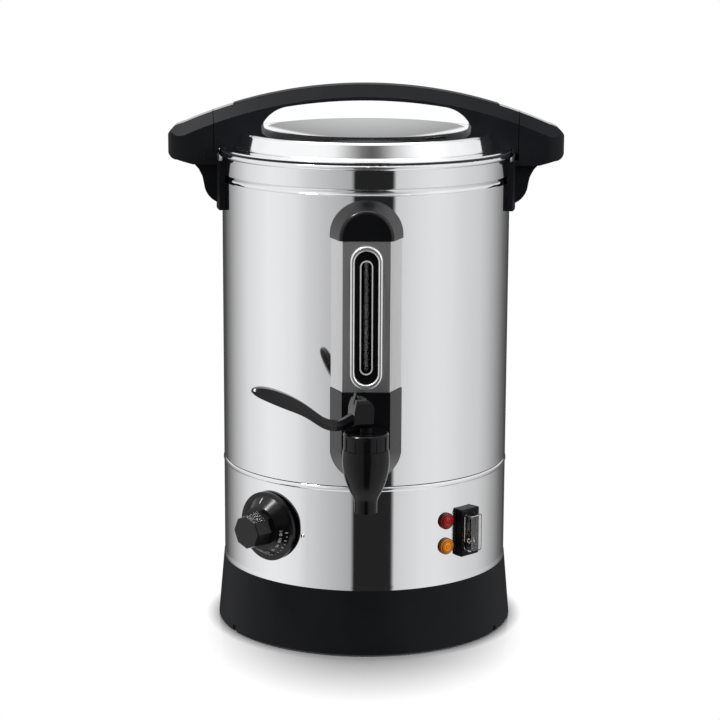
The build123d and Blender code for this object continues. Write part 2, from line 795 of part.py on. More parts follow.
spring_radius = 7.4
wire_radius = 0.6
spring_turns = 5
spring_low = cup_top + wire_radius + 0.2
spring_high = bonnet_top - 3.2 - wire_radius - 0.2
spring_pitch = (spring_high - spring_low) / spring_turns
print("least gap between spring turns:", round(spring_pitch - 2 * wire_radius, 2), "mm")

with BuildPart() as tap_spring:
    with BuildLine() as coil:
        Helix(spring_pitch, spring_high - spring_low, spring_radius, center=(0, tap_axis_y, spring_low))
    with BuildSketch(coil.line ^ 0):
        Circle(wire_radius)
    sweep(path=coil.line, is_frenet=True)
save(tap_spring, "tap_spring")

lever_out = outward(lever_angle)
lever_plane = Plane(
    origin=(0, tap_axis_y, 0),
    x_dir=lever_out,
    z_dir=(lever_out[1], -lever_out[0], 0),
)
pin_plane = Plane(
    origin=(0, tap_axis_y, pin_height),
    x_dir=lever_out,
    z_dir=lever_plane.z_dir,
)

with BuildPart() as tap_stem:
    disc(Plane((0, tap_axis_y, seat_height + 2.1)), stem_radius, pin_height + 5 - seat_height - 2.1)
    disc(pin_plane.offset(-20), pin_radius + 0.02, 40, mode=Mode.SUBTRACT)
save(tap_stem, "tap_stem")

with BuildPart() as lever_pin:
    disc(pin_plane.offset(0.2 - pin_reach), pin_radius, 2 * (pin_reach - 0.2))
save(lever_pin, "lever_pin")

# Lever stations: distance from the stem, height above the bonnet, width, thickness, slope in degrees
lever_stations = [
    (7.5, 12.4, 9.0, 6.6, -32),
    (12.0, 9.8, 9.0, 6.8, -28),
    (17.0, 7.3, 9.3, 7.0, -16),
    (22.5, 6.2, 9.8, 7.1, 2),
    (29.0, 7.6, 10.6, 7.0, 24),
    (37.0, 12.6, 12.0, 7.0, 38),
    (46.0, 19.0, 14.5, 8.0, 34),
    (57.0, 25.0, 17.0, 9.6, 26),
    (69.0, 30.4, 16.5, 9.4, 20),
    (78.0, 33.6, 12.5, 7.0, 18),
    (83.0, 35.0, 5.0, 2.6, 16),
]
slot_half = stem_radius + 0.4
fin_half_width = 2.4

with BuildPart() as tap_lever:
    with BuildSketch(lever_plane):
        with BuildLine():
            Polyline(
                (11.2, hub_low + 3),
                (10.8, hub_low + 14),
                (8.8, hub_high - 1.2),
                (6.0, hub_high),
                (0, hub_high - 2),
            )
            ThreePointArc((0, hub_high - 2), (-2.6, hub_high - 4.8), (-3.6, hub_high - 9))
            Polyline(
                (-3.6, hub_high - 9),
                (-2.8, hub_low),
                (8.6, hub_low),
                (11.2, hub_low + 3),
            )
        make_face()
    extrude(amount=hub_half_width, both=True)
    hub_end = Plane(
        origin=lever_plane.from_local_coords((-20, (hub_low + hub_high) / 2, 0)),
        x_dir=lever_plane.z_dir,
        z_dir=lever_out,
    )
    block(hub_end, 2 * hub_half_width, hub_high - hub_low, 60, corner=hub_round, mode=Mode.INTERSECT)
    with BuildSketch(lever_plane):
        with BuildLine():
            Polyline((10.2, hub_high - 5), (8.0, hub_high + 3), (6.2, hub_high - 3), close=True)
        make_face()
    extrude(amount=fin_half_width, both=True)
    for distance, rise, width, thickness, slope in lever_stations:
        along = (
            cos(radians(slope)) * lever_out[0],
            cos(radians(slope)) * lever_out[1],
            sin(radians(slope)),
        )
        centre = lever_plane.from_local_coords((distance, bonnet_top + rise, 0))
        with BuildSketch(Plane(origin=centre, x_dir=lever_plane.z_dir, z_dir=along)):
            Polygon(
                (width / 2, 0),
                (width * 0.27, thickness / 2),
                (-width * 0.27, thickness / 2),
                (-width / 2, 0),
                (-width * 0.27, -thickness / 2),
                (width * 0.27, -thickness / 2),
                align=None,
            )
    loft()
    with BuildSketch(lever_plane):
        with BuildLine():
            Polyline(
                (-20, bonnet_top - 5),
                (9.6, bonnet_top - 5),
                (stem_radius + 0.8, pin_height),
                (stem_radius + 0.8, pin_height + 6.5),
                (-20, pin_height + 6.5),
                close=True,
            )
        make_face()
    extrude(amount=slot_half, both=True, mode=Mode.SUBTRACT)
    disc(pin_plane.offset(-pin_reach), pin_radius + running_gap, 2 * pin_reach, mode=Mode.SUBTRACT)
save(tap_lever, "tap_lever")

# Lid
lid_steel = 1.0
lid_flange = body_radius + 2.0
lid_foot = body_radius - 11.0
lid_shoulder = body_radius - 14.0
lid_flat = body_radius - 16.0
band_drop = 2.4
dish_edge = body_radius - 34.0
dish_depth = 10.0
locating_radius = tank_inner - 1.2
locating_low = flange_low - 6.8
handle_screw_x = body_radius - 22.5
vent_angle = 36.5
vent_radius = body_radius - 26.0
vent_size = (20.0, 6.0)

dish_sphere = (dish_edge**2 + dish_depth**2) / (2 * dish_depth)
dish_half_height = lid_top - dish_depth + dish_sphere - sqrt(dish_sphere**2 - (dish_edge / 2) ** 2)


def lid_top_line():
    """Outer line of the lid from its foot to the middle of the dish."""
    Line((lid_foot, flange_high + 1.5), (lid_shoulder, lid_top - 4.8))
    ThreePointArc(
        (lid_shoulder, lid_top - 4.8),
        (lid_shoulder - 0.7, lid_top - band_drop - 1.0),
        (lid_flat, lid_top - band_drop),
    )
    Line((lid_flat, lid_top - band_drop), (dish_edge, lid_top))
    ThreePointArc((dish_edge, lid_top), (dish_edge / 2, dish_half_height), (0, lid_top - dish_depth))


with BuildPart() as lid:
    with BuildSketch(Plane.XZ):
        with BuildLine():
            ThreePointArc(
                (lid_flange - 0.7, flange_low),
                (lid_flange, (flange_low + flange_high) / 2),
                (lid_flange - 0.7, flange_high),
            )
            Line((lid_flange - 0.7, flange_high), (lid_foot + 1.5, flange_high))
            RadiusArc((lid_foot + 1.5, flange_high), (lid_foot, flange_high + 1.5), 1.6)
            lid_top_line()
            Line((0, lid_top - dish_depth), (0, lid_top - dish_depth - lid_steel))
            ThreePointArc(
                (0, lid_top - dish_depth - lid_steel),
                (dish_edge / 2, dish_half_height - lid_steel),
                (dish_edge, lid_top - lid_steel),
            )
            Line((dish_edge, lid_top - lid_steel), (lid_flat - 0.3, lid_top - band_drop - lid_steel))
            ThreePointArc(
                (lid_flat - 0.3, lid_top - band_drop - lid_steel),
                (lid_shoulder - 1.6, lid_top - band_drop - 1.7),
                (lid_shoulder - lid_steel, lid_top - 5),
            )
            Polyline(
                (lid_shoulder - lid_steel, lid_top - 5),
                (lid_foot - lid_steel, flange_high + 1),
                (lid_foot - lid_steel, flange_low),
                (locating_radius - lid_steel, flange_low),
                (locating_radius - lid_steel, locating_low),
                (locating_radius, locating_low),
                (locating_radius, flange_low),
                (lid_flange - 0.7, flange_low),
            )
        make_face()
    revolve(axis=Axis.Z)
    vent_plane = wall_plane(vent_angle, vent_radius, lid_top - 10)
    vent_across = Plane(vent_plane.origin, x_dir=vent_plane.x_dir)
    block(vent_across, *vent_size, 20, mode=Mode.SUBTRACT)
    for side in (-1, 1):
        disc(Plane((side * handle_screw_x, 0, lid_top - 10)), screw_radius + 0.2, 20, mode=Mode.SUBTRACT)
save(lid, "lid")

with BuildPart() as lid_gasket:
    disc(level(rim_height), lid_flange - 0.8, flange_low - rim_height, inner=locating_radius + 0.3)
save(lid_gasket, "lid_gasket")

# Arch that the lid handle and the two lugs are cut from
arch_radius = 348.0
arch_half_width = 19.0
arch_bevel = 8.5
arch_corner = 15.0
arch_shoulder = body_radius + 29.0
lug_end = body_radius + 40.8
foot_inside = body_radius - 31.0
underside = handle_top - 11.0
underside_radius = 370.0
foot_arch = underside - 19.5
handle_end = body_radius + 6.4
lug_face = handle_end + lid_gap
arch_centre = handle_top - arch_radius
corner_x = body_radius - 50.0
block_low = pad_low - 4.0


def crown_height(x, radius=arch_radius):
    """Height of the arch's round top, or of a line parallel to it, at a distance from the middle."""
    return arch_centre + sqrt(radius**2 - x**2)


def underside_height(x):
    """Height of the round underside of the arch at a distance from the middle."""
    return underside - underside_radius + sqrt(underside_radius**2 - x**2)


shoulder_height = crown_height(arch_shoulder)
end_low = pad_low + 4.3
end_height = shoulder_height - end_low
web_top = body_radius + 21.0

with BuildPart() as arch:
    with BuildSketch(Plane.XZ):
        with BuildLine():
            for side in (-1, 1):
                ThreePointArc(
                    (0, handle_top),
                    (side * arch_shoulder / 2, crown_height(arch_shoulder / 2)),
                    (side * arch_shoulder, shoulder_height),
                )
                ThreePointArc(
                    (side * arch_shoulder, shoulder_height),
                    (side * (lug_end - 3.6), shoulder_height - 0.19 * end_height),
                    (side * lug_end, shoulder_height - 0.41 * end_height),
                )
                Line((side * lug_end, shoulder_height - 0.41 * end_height), (side * lug_end, end_low))
                ThreePointArc(
                    (side * lug_end, end_low),
                    (side * (lug_end - 2.4), pad_low + 1.1),
                    (side * (lug_end - 7.8), pad_low - 0.7),
                )
                Polyline(
                    (side * (lug_end - 7.8), pad_low - 0.7),
                    (side * web_top, block_low),
                    (side * foot_inside, block_low),
                    (side * foot_inside, foot_arch),
                )
                ThreePointArc(
                    (side * foot_inside, foot_arch),
                    (side * (foot_inside - 5.9), underside - 11.4),
                    (side * corner_x, underside_height(corner_x)),
                )
                ThreePointArc(
                    (side * corner_x, underside_height(corner_x)),
                    (side * corner_x / 2, underside_height(corner_x / 2)),
                    (0, underside),
                )
        make_face()
    extrude(amount=arch_half_width, both=True)
    block(level(0), 2 * lug_end, 2 * arch_half_width, through, corner=arch_corner, mode=Mode.INTERSECT)
    for side in (-1, 1):
        with BuildSketch(Plane.YZ) as bevel:
            with BuildLine():
                Polyline(
                    (side * (arch_half_width - arch_bevel - 1), handle_top + 1),
                    (side * (arch_half_width + 1), handle_top - arch_bevel - 1),
                    (side * (arch_half_width + 1), handle_top + 1),
                    close=True,
                )
            make_face()
        revolve(bevel.sketch, axis=Axis((0, 0, arch_centre), (0, 1, 0)), mode=Mode.SUBTRACT)

strip_half_width = 9.0
strip_reach = body_radius - 9.0
strip_sink = 1.4
strip_proud = 0.5


def strip_outline():
    """Curved band on the top of the handle that the grip strip fills."""
    low = arch_radius - strip_sink
    high = arch_radius + strip_proud
    ends = [
        (side * strip_reach, crown_height(strip_reach, radius))
        for radius, side in ((low, -1), (low, 1), (high, 1), (high, -1))
    ]
    with BuildLine() as outline:
        ThreePointArc(ends[0], (0, arch_centre + low), ends[1])
        Line(ends[1], ends[2])
        ThreePointArc(ends[2], (0, arch_centre + high), ends[3])
        Line(ends[3], ends[0])
    return outline.edges()


with BuildPart() as handle_grip:
    with BuildSketch(Plane.XZ):
        make_face(strip_outline())
    extrude(amount=strip_half_width, both=True)
save(handle_grip, "handle_grip")

with BuildPart() as lid_handle:
    add(arch.part)
    disc(level(0), 2 * lug_end, through, inner=handle_end, mode=Mode.SUBTRACT)
    disc(level(0), 2 * lug_end, handle_foot, mode=Mode.SUBTRACT)
    with BuildSketch(Plane.XZ):
        with BuildLine():
            Polyline(
                (0, lid_top - dish_depth),
                (0, groove_low),
                (lid_flange + 1, groove_low),
                (lid_flange + 1, flange_high),
                (lid_foot + 1.5, flange_high),
            )
            RadiusArc((lid_foot + 1.5, flange_high), (lid_foot, flange_high + 1.5), 1.6)
            lid_top_line()
        make_face()
    revolve(axis=Axis.Z, mode=Mode.SUBTRACT)
    with BuildSketch(Plane.XZ):
        make_face(strip_outline())
    extrude(amount=strip_half_width + flush_gap, both=True, mode=Mode.SUBTRACT)
    for side in (-1, 1):
        disc(Plane((side * handle_screw_x, 0, lid_top - 5)), screw_radius, 15, mode=Mode.SUBTRACT)
save(lid_handle, "lid_handle")

with BuildPart() as handle_screws:
    for side in (-1, 1):
        under = Plane((side * handle_screw_x, 0, lid_top - band_drop - lid_steel - screw_head))
        disc(under, screw_head_radius, screw_head)
        disc(under.offset(screw_head), screw_radius - flush_gap, 10.0)
save(handle_screws, "handle_screws")

# Lugs and the pads under the handle's ends
lug_reach = body_radius + 11.0
web_half_width = 12.0
plate_thickness = 4.4
plate_half_angle = 15.0
lug_low = pad_low - 37.4
web_root = body_radius - 10.0
pad_back = 12.0
pad_inside = lid_flange + 1
lug_screw_end = body_radius + 7.0


def pad_block(side, growth, mode=Mode.ADD):
    """Handle rest pad, level with the lug's front on the left and with its back on the right."""
    middle = Plane((side * (lug_reach + pad_inside) / 2, side * (arch_half_width - pad_back) / 2, pad_low))
    length = lug_reach - pad_inside + 2 * growth
    width = arch_half_width + pad_back + 2 * growth
    block(middle, length, width, handle_foot - pad_low - 0.2 + growth, mode=mode)


for side, lug_name in ((-1, "lug_left"), (1, "lug_right")):
    with BuildPart() as lug:
        add(arch.part)
        block(Plane((-side * lug_end, 0, 0)), 2 * lug_end, 4 * arch_half_width, through, mode=Mode.SUBTRACT)
        disc(level(pad_low), lug_face, through, mode=Mode.SUBTRACT)
        with BuildSketch(Plane.XZ):
            with BuildLine():
                Polyline(
                    (side * web_root, block_low),
                    (side * web_top, block_low),
                    (side * (web_top - 3.6), block_low - 3.9),
                    (side * (web_top - 6.5), block_low - 9.6),
                    (side * (web_top - 7.8), block_low - 16),
                )
                ThreePointArc(
                    (side * (web_top - 7.8), block_low - 16),
                    (side * (web_top - 12.2), block_low - 25.6),
                    (side * (body_radius + 2.4), lug_low + 3.6),
                )
                Polyline(
                    (side * (body_radius + 2.4), lug_low + 3.6),
                    (side * web_root, lug_low),
                    (side * web_root, block_low),
                )
            make_face()
        extrude(amount=web_half_width, both=True)
        plate_plane = Plane.XZ.rotated((0, 0, -plate_half_angle if side > 0 else 180 - plate_half_angle))
        with BuildSketch(plate_plane):
            with Locations((body_radius + plate_thickness / 2, (pad_low + lug_low) / 2)):
                Rectangle(plate_thickness, pad_low - lug_low)
        revolve(axis=Axis.Z, revolution_arc=2 * plate_half_angle)
        disc(level(0), body_radius + flush_gap, through, mode=Mode.SUBTRACT)
        pad_block(side, 0.2, Mode.SUBTRACT)
        for height in lug_screw_heights:
            hole = wall_plane(90 * side, web_root, height)
            disc(hole, screw_radius, lug_screw_end + 0.5 - web_root, mode=Mode.SUBTRACT)
    save(lug, lug_name)

with BuildPart() as lid_rest_pads:
    for side in (-1, 1):
        pad_block(side, 0)
save(lid_rest_pads, "lid_rest_pads")

with BuildPart() as lug_screws:
    head_low = tank_inner - screw_head - 0.12
    for side in (-90, 90):
        for height in lug_screw_heights:
            disc(wall_plane(side, head_low, height), screw_head_radius, screw_head)
            shank = wall_plane(side, head_low + 1, height)
            disc(shank, screw_radius - flush_gap, lug_screw_end - head_low - 1)
save(lug_screws, "lug_screws")
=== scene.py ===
"""Mulled wine boiler: finishes, printed marks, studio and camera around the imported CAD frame."""
from math import cos, pi, radians, sin

import bmesh
import bpy
from mathutils import Matrix, Vector


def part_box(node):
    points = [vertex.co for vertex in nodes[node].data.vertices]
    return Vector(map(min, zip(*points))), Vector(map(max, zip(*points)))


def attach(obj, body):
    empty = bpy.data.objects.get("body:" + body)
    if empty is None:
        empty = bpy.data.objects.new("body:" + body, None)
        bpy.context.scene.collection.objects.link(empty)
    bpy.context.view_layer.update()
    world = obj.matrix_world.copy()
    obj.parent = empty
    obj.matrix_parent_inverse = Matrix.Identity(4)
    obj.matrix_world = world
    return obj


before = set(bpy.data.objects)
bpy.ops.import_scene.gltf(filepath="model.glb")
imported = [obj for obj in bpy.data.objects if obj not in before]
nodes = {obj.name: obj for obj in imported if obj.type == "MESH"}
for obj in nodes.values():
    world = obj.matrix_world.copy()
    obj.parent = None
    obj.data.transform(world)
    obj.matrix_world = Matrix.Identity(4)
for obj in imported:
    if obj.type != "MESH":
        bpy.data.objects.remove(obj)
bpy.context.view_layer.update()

scene = bpy.context.scene
MM = 0.001


def grey(value):
    return (value, value, value)


def out_at(angle):
    """Unit vector at an angle to the right of the front, in degrees."""
    return Vector((sin(radians(angle)), -cos(radians(angle)), 0))


# Node helpers

def new_tree(material):
    """The emptied node tree of a material or world, and its output node."""
    material.use_nodes = True
    tree = material.node_tree
    tree.nodes.clear()
    kind = "ShaderNodeOutputWorld" if isinstance(material, bpy.types.World) else "ShaderNodeOutputMaterial"
    return tree, tree.nodes.new(kind)


def new_material(name):
    """A node material with a Principled shader."""
    material = bpy.data.materials.new(name)
    tree, output = new_tree(material)
    shader = tree.nodes.new("ShaderNodeBsdfPrincipled")
    tree.links.new(shader.outputs["BSDF"], output.inputs["Surface"])
    return material, tree, shader


def object_coordinates(tree, stretch=(1, 1, 1)):
    """Object coordinates in metres, stretched per axis."""
    coordinates = tree.nodes.new("ShaderNodeTexCoord")
    mapping = tree.nodes.new("ShaderNodeMapping")
    mapping.inputs["Scale"].default_value = stretch
    tree.links.new(coordinates.outputs["Object"], mapping.inputs["Vector"])
    return mapping.outputs["Vector"]


def split_axes(tree, vector):
    """The X, Y and Z sockets of a vector."""
    node = tree.nodes.new("ShaderNodeSeparateXYZ")
    tree.links.new(vector, node.inputs["Vector"])
    return node.outputs["X"], node.outputs["Y"], node.outputs["Z"]


def math_node(tree, operation, first, second=None):
    """Socket with the result of one math operation on sockets or numbers."""
    node = tree.nodes.new("ShaderNodeMath")
    node.operation = operation
    for index, value in enumerate((first, second)):
        if value is None:
            continue
        if isinstance(value, (int, float)):
            node.inputs[index].default_value = value
        else:
            tree.links.new(value, node.inputs[index])
    return node.outputs[0]


def vector_node(tree, operation, first, second=None):
    """The vector math node for one operation on a socket and a fixed vector."""
    node = tree.nodes.new("ShaderNodeVectorMath")
    node.operation = operation
    tree.links.new(first, node.inputs[0])
    if second is not None:
        node.inputs[1].default_value = second
    return node


def noise(tree, vector, scale, detail=4.0, roughness=0.55):
    """Socket with a noise value."""
    node = tree.nodes.new("ShaderNodeTexNoise")
    node.inputs["Scale"].default_value = scale
    node.inputs["Detail"].default_value = detail
    node.inputs["Roughness"].default_value = roughness
    tree.links.new(vector, node.inputs["Vector"])
    return node.outputs["Fac"]


def spread(tree, value, low, high, start=0.25, end=0.75):
    """Socket that maps start..end of a value to low..high."""
    node = tree.nodes.new("ShaderNodeMapRange")
    node.inputs["From Min"].default_value = start
    node.inputs["From Max"].default_value = end
    node.inputs["To Min"].default_value = low
    node.inputs["To Max"].default_value = high
    tree.links.new(value, node.inputs["Value"])
    return node.outputs["Result"]


def ramp(tree, value, stops):
    """Socket with a colour ramp's colour; stops are (position, colour)."""
    node = tree.nodes.new("ShaderNodeValToRGB")
    elements = node.color_ramp.elements
    while len(elements) < len(stops):
        elements.new(0.5)
    for element, (position, colour) in zip(elements, stops):
        element.position = position
        element.color = (*colour, 1)
    tree.links.new(value, node.inputs["Fac"])
    return node.outputs["Color"]


def blended(tree, first, second, share):
    """Socket with two values mixed, the first taking the share."""
    return math_node(
        tree,
        "ADD",
        math_node(tree, "MULTIPLY", first, share),
        math_node(tree, "MULTIPLY", second, 1 - share),
    )


def bump(tree, shader, height, strength, distance):
    """Adds a bump to a shader."""
    node = tree.nodes.new("ShaderNodeBump")
    node.inputs["Strength"].default_value = strength
    node.inputs["Distance"].default_value = distance
    tree.links.new(height, node.inputs["Height"])
    tree.links.new(node.outputs["Normal"], shader.inputs["Normal"])


def seen_directly(tree):
    """Socket that is 1 for rays that show the background itself: camera, mirror and glass rays."""
    path = tree.nodes.new("ShaderNodeLightPath")
    seen = math_node(tree, "MAXIMUM", path.outputs["Is Camera Ray"], path.outputs["Is Glossy Ray"])
    return math_node(tree, "MAXIMUM", seen, path.outputs["Is Transmission Ray"])


# Materials

lens_radius = 6.3 * MM
ring_spacing = 0.24


def steel(name, shades, rough, stretch, bump_strength=0.01):
    """Metal with fine brushing, drawn out along the axes that have a small stretch."""
    material, tree, shader = new_material(name)
    shader.inputs["Metallic"].default_value = 1.0
    lines = noise(tree, object_coordinates(tree, stretch), 60.0, 6.0, 0.65)
    tree.links.new(ramp(tree, lines, [(0.3, shades[0]), (0.7, shades[1])]), shader.inputs["Base Color"])
    cloud = noise(tree, object_coordinates(tree), 9.0, 2.0)
    tree.links.new(spread(tree, blended(tree, lines, cloud, 0.6), *rough), shader.inputs["Roughness"])
    bump(tree, shader, lines, bump_strength, 0.0002)
    return material


def spun_steel(name, shades, rough):
    """Metal with fine turned rings about the upright axis."""
    material, tree, shader = new_material(name)
    shader.inputs["Metallic"].default_value = 1.0
    x, y, z = split_axes(tree, object_coordinates(tree))
    square = math_node(tree, "ADD", math_node(tree, "MULTIPLY", x, x), math_node(tree, "MULTIPLY", y, y))
    join = tree.nodes.new("ShaderNodeCombineXYZ")
    tree.links.new(math_node(tree, "MULTIPLY", math_node(tree, "SQRT", square), 30.0), join.inputs["X"])
    tree.links.new(math_node(tree, "MULTIPLY", z, 30.0), join.inputs["Y"])
    rings = noise(tree, join.outputs["Vector"], 60.0, 6.0, 0.7)
    tree.links.new(ramp(tree, rings, [(0.3, shades[0]), (0.7, shades[1])]), shader.inputs["Base Color"])
    tree.links.new(spread(tree, rings, *rough), shader.inputs["Roughness"])
    bump(tree, shader, rings, 0.01, 0.0002)
    return material


def plastic(name, shades, rough, grain=1400.0, bump_strength=0.1, specular=0.3, top_rough=1.0):
    """Moulded plastic with a fine grain, cloudy tone and uneven gloss; faces that look up can be smoother."""
    material, tree, shader = new_material(name)
    shader.inputs["Specular IOR Level"].default_value = specular
    vector = object_coordinates(tree)
    cloud = noise(tree, vector, 28.0, 3.0)
    tree.links.new(ramp(tree, cloud, [(0.3, shades[0]), (0.7, shades[1])]), shader.inputs["Base Color"])
    fine = noise(tree, vector, grain, 2.0)
    roughness = spread(tree, blended(tree, fine, cloud, 0.5), *rough)
    if top_rough < 1:
        geometry = tree.nodes.new("ShaderNodeNewGeometry")
        upward = split_axes(tree, geometry.outputs["Normal"])[2]
        roughness = math_node(tree, "MULTIPLY", roughness, spread(tree, upward, 1.0, top_rough, 0.84, 0.9))
    tree.links.new(roughness, shader.inputs["Roughness"])
    bump(tree, shader, fine, bump_strength, 0.00012)
    return material


def ink(name, shades):
    """Printed ink."""
    return plastic(name, shades, (0.45, 0.6), grain=2500.0, bump_strength=0.05)


def lens(name, centre, axis, bright, dark):
    """Translucent lamp lens with bumped moulded rings round its axis, coloured in bright and dark rings with a
    darker edge as painted highlights and painted shade.
    """
    material, tree, shader = new_material(name)
    offset = vector_node(tree, "SUBTRACT", object_coordinates(tree), centre)
    across = vector_node(tree, "CROSS_PRODUCT", offset.outputs["Vector"], axis)
    radius = vector_node(tree, "LENGTH", across.outputs["Vector"]).outputs["Value"]
    place = math_node(tree, "DIVIDE", radius, lens_radius)
    # Bright and dark rings in the colour, and the dark outer edge, are painted highlights and painted shade of the
    # moulded rings
    rings = [
        (0.0, bright), (0.14, bright), (0.20, dark), (0.30, bright), (0.44, bright), (0.52, dark), (0.60, bright),
        (0.70, dark), (0.84, bright), (0.92, dark),
    ]
    tree.links.new(ramp(tree, place, rings), shader.inputs["Base Color"])
    speck = noise(tree, object_coordinates(tree), 700.0, 2.0)
    tree.links.new(spread(tree, speck, 0.18, 0.32), shader.inputs["Roughness"])
    shader.inputs["Specular IOR Level"].default_value = 0.2
    wave = math_node(tree, "SINE", math_node(tree, "MULTIPLY", place, 2 * pi / ring_spacing))
    bump(tree, shader, wave, 0.5, 0.0004)
    return material


def clear(name, tint, rough):
    """Clear glass or plastic with slight smears."""
    material, tree, shader = new_material(name)
    shader.inputs["Transmission Weight"].default_value = 1.0
    shader.inputs["IOR"].default_value = 1.45
    smear = noise(tree, object_coordinates(tree), 120.0, 3.0)
    tree.links.new(ramp(tree, smear, [(0.3, tint[0]), (0.7, tint[1])]), shader.inputs["Base Color"])
    tree.links.new(spread(tree, smear, *rough), shader.inputs["Roughness"])
    return material


# Places on the control shell: angles to the right of the front in degrees, the rest in metres
shell_radius = 0.110
lamp_out = out_at(33.3)
lamp_red = lamp_out * shell_radius + Vector((0, 0, 0.0992))
lamp_amber = lamp_out * shell_radius + Vector((0, 0, 0.0797))
dial_angle = -40.4
dial_height = 0.0929
switch_angle = 43.6
switch_height = 0.0883

# Black plastics share a slightly blue tint, from a darker to a lighter shade
deep_black = ((0.0022, 0.0023, 0.0028), (0.0034, 0.0035, 0.0042))
knob_shades = ((0.0022, 0.0023, 0.0028), (0.0032, 0.0033, 0.0039))
switch_shades = ((0.0020, 0.0021, 0.0025), (0.0030, 0.0031, 0.0036))
base_shades = ((0.0042, 0.0045, 0.0056), (0.0056, 0.0059, 0.0072))
handle_shades = ((0.0045, 0.0047, 0.0058), (0.0065, 0.0068, 0.0082))
polished_shades = ((0.80, 0.803, 0.815), (0.81, 0.813, 0.825))

polished = steel("polished_steel", polished_shades, (0.045, 0.055), (3.0, 3.0, 0.3), 0.001)
satin_steel = steel("satin_steel", (grey(0.62), grey(0.72)), (0.28, 0.34), (30.0, 30.0, 0.6), 0.02)
bright_trim = steel("bright_trim", (grey(0.88), grey(0.92)), (0.28, 0.34), (4.0, 4.0, 4.0), 0.004)
lid_metal = spun_steel("spun_steel", ((0.92, 0.923, 0.935), (0.95, 0.953, 0.965)), (0.06, 0.09))
zinc = steel("plated_steel", (grey(0.50), grey(0.64)), (0.25, 0.4), (8.0, 8.0, 8.0))
sheath = steel("heater_sheath", (grey(0.22), (0.36, 0.32, 0.29)), (0.35, 0.55), (6.0, 6.0, 6.0))
copper = steel("copper_tube", ((0.62, 0.33, 0.2), (0.75, 0.43, 0.28)), (0.25, 0.4), (6.0, 6.0, 6.0))
handle_black = plastic("handle_plastic", handle_shades, (0.34, 0.44), specular=0.055, top_rough=0.35)
base_black = plastic("base_plastic", base_shades, (0.34, 0.44), specular=0.08)
tap_black = plastic("tap_plastic", deep_black, (0.16, 0.24), specular=0.3)
lever_black = plastic("lever_plastic", deep_black, (0.14, 0.22), specular=0.2)
knob_black = plastic("knob_plastic", knob_shades, (0.16, 0.22), bump_strength=0.03, specular=0.3)
switch_black = plastic("switch_plastic", switch_shades, (0.28, 0.40), specular=0.1)
panel_shades = (grey(0.002), grey(0.004))
panel_black = plastic("panel_gloss", panel_shades, (0.10, 0.18), bump_strength=0.02, specular=0.2)
strip_shades = (grey(0.003), grey(0.005))
strip_black = plastic("strip_plastic", strip_shades, (0.5, 0.65), grain=900.0, bump_strength=0.3)
rubber = plastic("seal_rubber", (grey(0.008), grey(0.014)), (0.6, 0.8), grain=800.0)
pale_print = ink("pale_print", (grey(0.36), grey(0.44)))
white_ink = ink("white_ink", (grey(0.62), grey(0.74)))
scale_ink = ink("scale_ink", (grey(0.045), grey(0.06)))
tube_glass = clear("gauge_glass", (grey(0.75), grey(0.85)), (0.02, 0.06))
cover_clear = clear("switch_cover_clear", (grey(0.90), grey(0.96)), (0.02, 0.06))
red = lens("red_lens", lamp_red, lamp_out, (0.30, 0.006, 0.004), (0.03, 0.001, 0.001))
amber = lens("amber_lens", lamp_amber, lamp_out, (0.66, 0.21, 0.003), (0.11, 0.028, 0.001))

finishes = {
    polished: ["tank", "control_shell"],
    lid_metal: ["lid"],
    satin_steel: ["gauge_cover"],
    bright_trim: ["gauge_bezel"],
    zinc: [
        "tank_floor", "heat_plate", "thermostat_saddle", "tie_stud", "bottom_screws", "tie_nut", "thermostat_screws",
        "cap_screw", "handle_screws", "lug_screws", "thermostat_spindle", "lever_pin", "bottom_plate", "tap_spring",
    ],
    sheath: ["heating_element"],
    copper: ["thermostat_sensor"],
    base_black: ["base_skirt"],
    handle_black: ["lid_handle", "lug_left", "lug_right", "lid_rest_pads"],
    strip_black: ["handle_grip"],
    tap_black: ["tap_bracket", "gauge_top_cap", "tap_nut", "gauge_tee"],
    lever_black: ["tap_body", "tap_bonnet", "tap_lever"],
    knob_black: ["thermostat_knob"],
    # The tap stem takes this duller plastic so that it renders darker, as painted shade under the lever hub
    switch_black: [
        "switch_frame", "rocker", "cord_gland", "lamp_holders", "thermostat_body", "thermal_cutout", "tap_stem",
    ],
    panel_black: ["gauge_panel"],
    pale_print: ["gauge_slot_rim"],
    tube_glass: ["gauge_tube"],
    cover_clear: ["switch_cover"],
    red: ["red_lens"],
    amber: ["amber_lens"],
    rubber: ["lid_gasket", "gauge_seals", "tap_gaskets", "seat_cup", "rubber_feet"],
}
for material, members in finishes.items():
    for member in members:
        mesh = nodes[member].data
        mesh.materials.clear()
        mesh.materials.append(material)

# Rounded edges on the moulded pieces, in millimetres
rounding = {
    "lid_handle": 1.4, "lug_left": 1.4, "lug_right": 1.4, "handle_grip": 0.3, "lid_rest_pads": 0.4,
    "tap_lever": 1.0, "tap_bonnet": 0.35, "tap_body": 0.5, "tap_bracket": 0.8, "gauge_top_cap": 0.4,
    "gauge_cover": 0.35, "thermostat_knob": 0.6, "switch_frame": 0.5, "switch_cover": 0.35, "rocker": 0.4,
    "base_skirt": 0.5, "cord_gland": 0.5,
}
for name, width in rounding.items():
    node = nodes[name]
    weld = node.modifiers.new("weld", "WELD")
    weld.merge_threshold = 0.00001
    edge = node.modifiers.new("edge", "BEVEL")
    edge.width = width * MM
    edge.segments = 3
    edge.limit_method = "ANGLE"
    edge.angle_limit = radians(28)
    edge.use_clamp_overlap = True
    edge.harden_normals = False
    smooth = node.modifiers.new("normals", "WEIGHTED_NORMAL")
    smooth.keep_sharp = False
    smooth.weight = 60


# Printed marks

